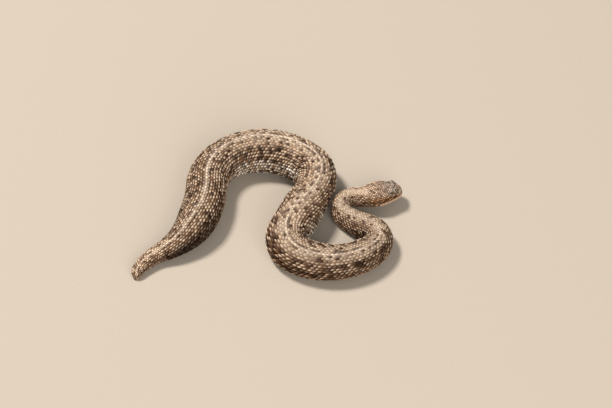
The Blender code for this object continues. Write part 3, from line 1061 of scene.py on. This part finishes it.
def build_snout(tree, material):
    """The plates of the snout's tip and of the chin's, with rows of small scales above the snout's."""
    scale_depth, plate_depth, nostril_room = 0.26, 0.16, 0.55
    line = float(mouth_height(0.0))
    nostrils = [nostril_centre(side) for side in SIDES]
    for name, rows, way, slot in zip(
        ("snout_plates", "chin_tip_plates"), snout_rows(), (1, -1), ("head_skin", "chin_skin")
    ):
        large, small = [], []
        for number, (out, height, length, width, keel) in enumerate(rows):
            centre, normal = seated(tree, out, line + height)
            if min(gap_to(centre, nostril) for nostril in nostrils) < nostril_room:
                continue
            if keel > 0:
                parts, template, profile, keels = small, SMALL_SCALE, leaf, np.array([keel])
                heights = scale_depth * keeled_height(template, keels)[0]
                shade = keeled_shade(template, keels, np.zeros(1), np.ones(1))
            else:
                parts, template, profile = large, ROUND_PLATE, slab
                heights = plate_depth * plain_height(template, np.ones(1))[0]
                shade = plain_shade(template, 1)
            lengthwise = way * UP + 0.35 * out * LEFT
            along = (template.u - 0.5) * length
            across = template.v * profile(template.u) * width / 2
            points = pressed_on(tree, centre, normal, lengthwise, along, across, heights)
            pale = head_markings(centre[None])[:, None, :] * (0.8 + 0.3 * dice(number, way, 15))
            share = 0.5 * (1 - way) / 2 + 0.02 * out
            parts.append((points[None], shaded(pale, shade), np.array([-0.5]), np.array([share])))
        plate_object(name, ROUND_PLATE, *joined(large), material, slot)
        if small:
            plate_object(name + "_small", SMALL_SCALE, *joined(small), material, slot)


def build_nostril_rims(tree, material):
    """A plate with a raised rim round each nostril."""
    spokes = 20
    rings = (
        # radius, height over the skin and shade: out over the rim, and back underneath it. The shade is
        # painted shade: darkest inside the nostril, at the rim's outer edge and under it.
        (0.17, -0.1, 0.0), (0.19, 0.05, 0.2), (0.27, 0.1, 0.6), (0.42, 0.08, 0.75), (0.52, 0.02, 0.2),
        (0.5, -0.05, 0.0), (0.3, -0.16, 0.0),
    )
    turn = np.arange(spokes) / spokes * 2 * math.pi
    index = np.arange(len(rings) * spokes).reshape(len(rings), spokes)
    onward, after = np.roll(index, -1, axis=0), np.roll(index, -1, axis=1)
    faces = np.concatenate(two_triangles(index, onward, np.roll(onward, -1, axis=1), after))
    for side, name in ((1, "nostril_rim_right"), (-1, "nostril_rim_left")):
        centre, normal, _, _ = tree.find_nearest(Vector(nostril_centre(side)))
        centre, normal = np.array(centre), np.array(normal)
        pale = head_markings(centre[None])
        points, colours = [], []
        for radius, height, shade in rings:
            along, across = radius * np.cos(turn), radius * np.sin(turn)
            heights = np.full(spokes, height)
            points.append(pressed_on(tree, centre, normal, UP, along, across, heights))
            colours.append(np.repeat(shaded(pale, np.array([shade])), spokes, axis=0))
        flat = np.concatenate(points)
        root = unwrap(np.array(NOSTRIL_PLACE), np.array(0.5 + side * 0.12), np.array(True))
        around = (flat - centre) @ np.stack([LEFT, UP], -1) * PATCH
        uv = (root + around)[faces.ravel()]
        mesh_object(name, flat, faces, np.concatenate(colours), uv, material)


def build_eye_rings(material):
    """The ring of small scales that closes round each eye, raised over the eye as a brow."""
    tucked = math.radians(2)
    u, v, top = SMALL_SCALE.u, SMALL_SCALE.v, SMALL_SCALE.top
    parts = []
    for side in SIDES:
        centre, look = eye_facts(side)
        upward = UP - look * (UP @ look)
        upward /= np.linalg.norm(upward)
        beside = np.cross(look, upward)
        for i in range(EYE_RING_COUNT):
            middle = 2 * math.pi * (i + 0.5) / EYE_RING_COUNT
            over = max(math.cos(middle), 0)
            turn = middle + v * slab(u) * math.pi / EYE_RING_COUNT * 1.12
            lean = EYE_OPENING - tucked + (1 - u) * math.radians(30 + 8 * over)
            ridge = bump(v / 0.5) * np.sin(np.clip(u, 0, 1) * math.pi) ** 0.6
            height = np.where(top, RIM_HEIGHT + 0.01 + 0.05 * ridge + 0.06 * over * u, 0.02)
            outward = np.cos(turn)[:, None] * upward + np.sin(turn)[:, None] * beside
            ray = np.cos(lean)[:, None] * look + np.sin(lean)[:, None] * outward
            points = centre + ray * (EYE_RADIUS + height)[:, None]
            # Painted shade: the ring's scales are darker than the head round them, which keeps their upward
            # faces from showing paler, and darker at their roots, sides and undersides.
            colour = head_markings(points.mean(axis=0)[None]) * (0.32 + 0.5 * dice(i, side, 16))
            shade = np.where(top, 1.0 - 0.85 * np.abs(v) ** 2 - 0.6 * (1 - u) ** 2, 0.1)
            colours = shaded(colour[:, None, :], shade[None])
            place = EYE_PLACE - 1.2 + 0.18 * i
            parts.append((points[None], colours, np.array([place]), np.array([0.25 * side])))
    plate_object("eye_ring_scales", SMALL_SCALE, *joined(parts), material, "head_skin")


# ---------------- the underside


def belly_colours(template, columns):
    """Pale plates, dusted darker toward their outer ends, with painted shade toward each plate's root and
    underneath.
    """
    dust = ramp(np.abs(template.v), 0.6, 1.0)[None] * dice(columns, columns, 13)[:, None]
    # Painted shade: darker toward the root, where the plate comes out from under the one in front, and
    # underneath.
    shade = np.where(template.top, 1 - 0.3 * (1 - template.u) ** 2, 0.5)
    return mix(BELLY, TAN, 0.7 * dust) * shade[None, :, None]


def build_belly(material):
    """Broad plates under the body, and paired ones under the tail."""
    last = int(column_at(VENT))
    columns = np.arange(math.ceil(column_at(THROAT_END)), last)
    places = place_of(columns)
    shares = np.full(len(places), 0.5)
    length = 1.3 * smooth_through(PITCH, places)
    grown = 0.5 + 0.5 * ramp(places, THROAT_END, THROAT_END + 8)
    width = SKIN.girth_at(places) * (1 - 2 * BACK_SHARE) * 1.06 * grown
    heights = belly_height(WIDE_PLATE, len(places))
    points = plates(WIDE_PLATE, places, shares, length, width, heights, band)
    colours = belly_colours(WIDE_PLATE, columns)
    head = np.zeros(len(places), bool)
    plate_object("belly_plates", WIDE_PLATE, points, colours, places, shares, material, "scaled_skin", head)
    parts = []
    for side in SIDES:
        columns = np.arange(last, int(COLUMN_COUNT[-1]) - 1) + 0.25 * side
        places = place_of(columns)
        shares = np.full(len(places), 0.5 - side * (0.5 - BACK_SHARE) * 0.5)
        length = 1.35 * smooth_through(PITCH, places)
        width = SKIN.girth_at(places) * (0.5 - BACK_SHARE) * 1.2
        heights = belly_height(ROUND_PLATE, len(places))
        points = plates(ROUND_PLATE, places, shares, length, width, heights, slab)
        parts.append((points, belly_colours(ROUND_PLATE, columns), places, shares))
    plate_object("tail_plates", ROUND_PLATE, *joined(parts), material, "scaled_skin")


# ---------------- eyes


def build_eye(name, side, material):
    """An eyeball under its clear scale. Its own Z axis is the way it looks, and its Y runs up the slit."""
    rings, spokes = 32, 48
    lean = np.linspace(0, math.pi, rings + 1)[1:-1]
    turn = np.arange(spokes) / spokes * 2 * math.pi
    ring = np.stack([
        np.sin(lean)[:, None] * np.cos(turn), np.sin(lean)[:, None] * np.sin(turn),
        np.cos(lean)[:, None] * np.ones(spokes),
    ], axis=-1).reshape(-1, 3) * EYE_RADIUS * MM
    points = [*ring.tolist(), (0, 0, EYE_RADIUS * MM), (0, 0, -EYE_RADIUS * MM)]
    front, back, last = len(points) - 2, len(points) - 1, (rings - 2) * spokes
    around = [(j, (j + 1) % spokes) for j in range(spokes)]
    faces = [
        (i + j, i + spokes + j, i + spokes + k, i + k)
        for i in range(0, last, spokes) for j, k in around
    ]
    for j, k in around:
        faces += [(front, j, k), (last + j, back, last + k)]
    mesh = bpy.data.meshes.new(name + "_ball")
    mesh.from_pydata(points, [], faces)
    mesh.update()
    centre, look = eye_facts(side)
    z = Vector(look)
    y = (Vector((0, 0, 1)) - z * z.z).normalized()
    turned = Matrix((y.cross(z), y, z)).transposed().to_4x4()
    where = Matrix.Translation(Vector(centre) * MM) @ turned
    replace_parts(finished_object(name + "_ball", mesh, material, where), name)


# ---------------- materials


def feed(tree, node, inputs):
    """Sets inputs of a shader node. Each is a value, or another node's socket to link from."""
    for name, value in inputs.items():
        if isinstance(value, bpy.types.NodeSocket):
            tree.links.new(value, node.inputs[name])
        else:
            node.inputs[name].default_value = value


def add(tree, kind, inputs, **settings):
    """Adds one shader node with its settings and inputs."""
    made = tree.nodes.new(kind)
    for name, value in settings.items():
        setattr(made, name, value)
    feed(tree, made, inputs)
    return made


def new_material(name):
    """A material with only a Principled shader, its node tree, and the position on its piece."""
    made = bpy.data.materials.new(name)
    made.use_nodes = True
    tree = made.node_tree
    place = add(tree, "ShaderNodeTexCoord", {})
    return made, tree, tree.nodes["Principled BSDF"], place.outputs["Object"]


def rgba(colour):
    return (*linear(colour), 1.0)


def grown_keratin(name, roughness, mottle, grain_mm, bump_mm, gloss):
    """Keratin or skin with its markings, and a fine grain that is paler and duller on its rises.

    Real keratin is grained in thousandths of a millimetre. The grain is drawn as fine as shows."""
    material, tree, shader, place = new_material(name)
    markings = add(tree, "ShaderNodeAttribute", {}, attribute_name="markings")
    grain = add(tree, "ShaderNodeTexNoise", {
        "Vector": place, "Scale": 1 / (grain_mm * MM), "Detail": 3.0, "Roughness": 0.6,
    })
    by_grain = {"Value": grain.outputs["Fac"], "From Min": 0.3, "From Max": 0.7}
    mottled = add(tree, "ShaderNodeMapRange", {**by_grain, "To Min": 1 - mottle, "To Max": 1 + mottle})
    tinted = add(tree, "ShaderNodeVectorMath", {
        0: markings.outputs["Color"], "Scale": mottled.outputs["Result"],
    }, operation="SCALE")
    rough = add(tree, "ShaderNodeMapRange", {
        **by_grain, "To Min": roughness - 0.06, "To Max": roughness + 0.08,
    })
    relief = add(tree, "ShaderNodeBump", {
        "Height": grain.outputs["Fac"], "Distance": bump_mm * MM, "Strength": 1.0,
    })
    feed(tree, shader, {
        "Base Color": tinted.outputs["Vector"], "Roughness": rough.outputs["Result"],
        "Normal": relief.outputs["Normal"], "IOR": 1.5, "Specular IOR Level": gloss,
    })
    return material


def eye_spectacle():
    """The clear scale that grows over a snake's eye. It is smooth and looks wet, so it shows small
    sharp lights, with a sandy, speckled iris and an upright slit under it."""
    material, tree, shader, place = new_material("wet_clear_eye_scale")
    radius = EYE_RADIUS * MM
    split = add(tree, "ShaderNodeSeparateXYZ", {"Vector": place})
    # The slit is a narrow ellipse, with half its width and half its length as shares of the radius.
    squares = []
    for axis, half in (("X", 0.12), ("Y", 0.7)):
        share = add(tree, "ShaderNodeMath", {0: split.outputs[axis], 1: half * radius}, operation="DIVIDE")
        squares.append(add(tree, "ShaderNodeMath", {0: share.outputs[0], 1: 2.0}, operation="POWER"))
    slit = add(tree, "ShaderNodeMath", {i: s.outputs[0] for i, s in enumerate(squares)}, operation="ADD")
    iris_seen = add(tree, "ShaderNodeMapRange", {
        "Value": slit.outputs[0], "From Min": 0.85, "From Max": 1.25, "To Min": 0.0, "To Max": 1.0,
    })
    speckle = add(tree, "ShaderNodeTexNoise", {
        "Vector": place, "Scale": 1 / (0.22 * MM), "Detail": 4.0, "Roughness": 0.7,
    })
    iris = add(tree, "ShaderNodeValToRGB", {"Fac": speckle.outputs["Fac"]})
    for tone, position, colour in zip(iris.color_ramp.elements, (0.38, 0.66), ("2C1F16", "9A8266")):
        tone.position = position
        tone.color = rgba(colour)
    rim = add(tree, "ShaderNodeMapRange", {
        "Value": split.outputs["Z"], "From Min": 0.45 * radius, "From Max": 0.62 * radius,
        "To Min": 0.25, "To Max": 1.0,
    })
    fade = add(tree, "ShaderNodeMath", {
        0: iris_seen.outputs["Result"], 1: rim.outputs["Result"],
    }, operation="MULTIPLY")
    shown = add(tree, "ShaderNodeMix", {
        "Factor": fade.outputs[0], 6: rgba("120C08"), 7: iris.outputs["Color"],
    }, data_type="RGBA")
    feed(tree, shader, {
        "Base Color": shown.outputs[2], "Roughness": 0.08, "IOR": 1.38,
        "Coat Weight": 1.0, "Coat Roughness": 0.02,
    })
    return material


def painted_board():
    """Board with a rolled matt paint: it shows no lights, and its tone hardly varies."""
    material, tree, shader, place = new_material("matt_painted_board")
    tooth = add(tree, "ShaderNodeTexNoise", {"Vector": place, "Scale": 1 / (0.8 * MM), "Detail": 2.0})
    tones = add(tree, "ShaderNodeValToRGB", {"Fac": tooth.outputs["Fac"]})
    for tone, colour in zip(tones.color_ramp.elements, ("ACA296", "B3A99D")):
        tone.color = rgba(colour)
    feed(tree, shader, {"Base Color": tones.outputs["Color"], "Roughness": 0.9})
    return material


# ---------------- stage

CAMERA_ELEVATION = 48.0
CAMERA_DISTANCE = 1.3515  # metres
CAMERA_TARGET = (0.01486, 0.0055, 0.0)
LENS = 200.0
ROOM_LIGHT = {"Color": (1.0, 0.97, 0.93, 1.0), "Strength": 0.3}
LAMP_COLOUR = (1.0, 0.95, 0.88)
LAMPS = (
    # name, way to it, its distance and size in metres, its power in watts
    ("key", (-0.55, 0.42, 1.05), 2.2, 0.45, 64.0),
    ("fill", (0.3, -0.85, 0.5), 1.2, 0.9, 11.0),
)


def aimed(name, data, target, away, distance):
    """A lamp or camera that looks at its target from a distance. Away is a unit vector."""
    holder = bpy.data.objects.new(name, data)
    bpy.context.scene.collection.objects.link(holder)
    holder.location = Vector(target) + away * distance
    holder.rotation_euler = away.to_track_quat("Z", "Y").to_euler()
    return holder


def build_stage(floor_height):
    """A plain pale floor, soft lights and the camera."""
    bpy.ops.mesh.primitive_plane_add(size=6.0, location=(0, 0, floor_height))
    floor = bpy.context.object
    floor.name = "floor"
    floor.data.materials.append(painted_board())
    world = bpy.data.worlds.new("soft_room")
    world.use_nodes = True
    feed(world.node_tree, world.node_tree.nodes["Background"], ROOM_LIGHT)
    bpy.context.scene.world = world
    for name, way, distance, size, power in LAMPS:
        lamp = bpy.data.lights.new(name, "AREA")
        lamp.size = size
        lamp.energy = power
        lamp.color = LAMP_COLOUR
        aimed(name, lamp, (0, 0, 0), Vector(way).normalized(), distance)
    camera = bpy.data.cameras.new("camera")
    camera.lens = LENS
    camera.sensor_width = 36.0
    tilt = math.radians(CAMERA_ELEVATION)
    away = Vector((0, -math.cos(tilt), math.sin(tilt)))
    bpy.context.scene.camera = aimed("camera", camera, CAMERA_TARGET, away, CAMERA_DISTANCE)
    bpy.context.scene.view_settings.view_transform = "Standard"


# ---------------- the whole model

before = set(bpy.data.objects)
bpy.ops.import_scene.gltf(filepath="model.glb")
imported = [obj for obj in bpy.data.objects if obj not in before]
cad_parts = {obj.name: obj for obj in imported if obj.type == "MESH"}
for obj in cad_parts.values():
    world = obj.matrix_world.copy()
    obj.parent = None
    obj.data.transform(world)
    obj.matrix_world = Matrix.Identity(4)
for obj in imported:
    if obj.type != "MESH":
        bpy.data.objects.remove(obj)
cad_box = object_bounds()

# Keeled scales are dry and rough, so the eye sees their markings and hardly any shine.
keratin = grown_keratin("dull_keeled_scale_keratin", 0.7, 0.14, 0.28, 0.03, 0.08)
# The skin between them is soft and finely creased, so it stays dull.
bare_skin = grown_keratin("bare_skin_between_scales", 0.8, 0.12, 0.2, 0.02, 0.2)
# Belly plates are smooth and worn by sand, so they have a soft satin shine.
belly_keratin = grown_keratin("smooth_belly_plate_keratin", 0.42, 0.06, 0.4, 0.01, 0.5)
wet_eye = eye_spectacle()

head_tree = skin_tree()
build_skin(bare_skin, [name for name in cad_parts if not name.startswith("eye_")])
build_head_scales("head_scales", SNOUT_END, keratin, "head_skin", False)
build_head_scales("chin_scales", 0.0, keratin, "chin_skin", True)
build_lips(keratin)
build_snout(head_tree, keratin)
build_nostril_rims(head_tree, keratin)
build_eye_rings(keratin)
for coat_name, coat_start, coat_end in (
    ("neck_scales", HEAD_END, 40.0),
    ("trunk_scales_1", 40.0, 72.0),
    ("trunk_scales_2", 72.0, 102.0),
    ("trunk_scales_3", 102.0, 132.0),
    ("trunk_scales_4", 132.0, 162.0),
    ("trunk_scales_5", 162.0, 194.0),
    ("trunk_scales_6", 194.0, VENT),
    ("tail_scales", VENT, LENGTH),
):
    build_body_scales(coat_name, coat_start, coat_end, keratin)
build_belly(belly_keratin)
build_eye("eye_right", 1, wet_eye)
build_eye("eye_left", -1, wet_eye)
build_stage(cad_box[0][2])
